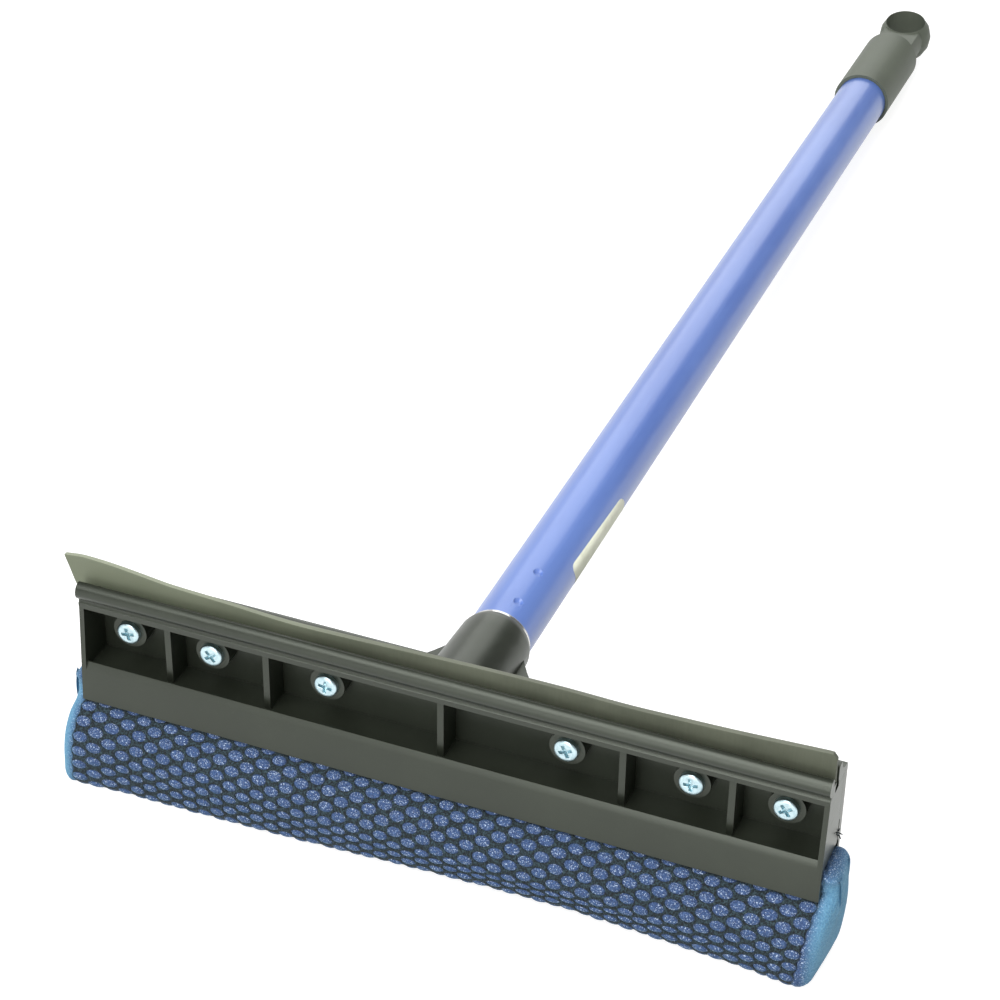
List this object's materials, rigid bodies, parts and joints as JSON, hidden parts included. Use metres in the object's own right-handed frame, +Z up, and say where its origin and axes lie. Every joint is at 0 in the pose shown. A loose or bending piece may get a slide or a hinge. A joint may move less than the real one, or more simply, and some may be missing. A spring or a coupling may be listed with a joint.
{
  "type": "windscreen squeegee",
  "caption": "Hand squeegee for car glass: rubber blade above a net-covered foam bar on one clamped head, with a straight tube handle and a hanging eye.",
  "frame": {"origin": "on the table under the middle of the whole squeegee as it lies at rest on its sponge and cap", "axes": "+X along the head, +Y along the handle away from the head, +Z up from the table"},
  "size_m": [0.2656, 0.587, 0.0808],
  "materials": {
    "casing_plastic": "moulded black plastic, fine satin",
    "cap_plastic": "soft matte charcoal plastic",
    "blade_rubber": "matte dark rubber",
    "foam": "open-cell blue foam",
    "net": "dark knitted plastic net",
    "zinc_screw": "bright zinc plate",
    "tube_paint": "satin blue paint on steel"
  },
  "bodies": {
    "root": {"front_casing": "casing_plastic", "rear_casing": "casing_plastic", "squeegee_blade": "blade_rubber", "foam_sponge": "foam", "net_sleeve": "net", "handle_tube": "tube_paint", "end_cap": "cap_plastic", "clamp_screw_1": "zinc_screw", "clamp_screw_2": "zinc_screw", "clamp_screw_3": "zinc_screw", "clamp_screw_4": "zinc_screw", "clamp_screw_5": "zinc_screw", "clamp_screw_6": "zinc_screw"}
  },
  "joints": []
}
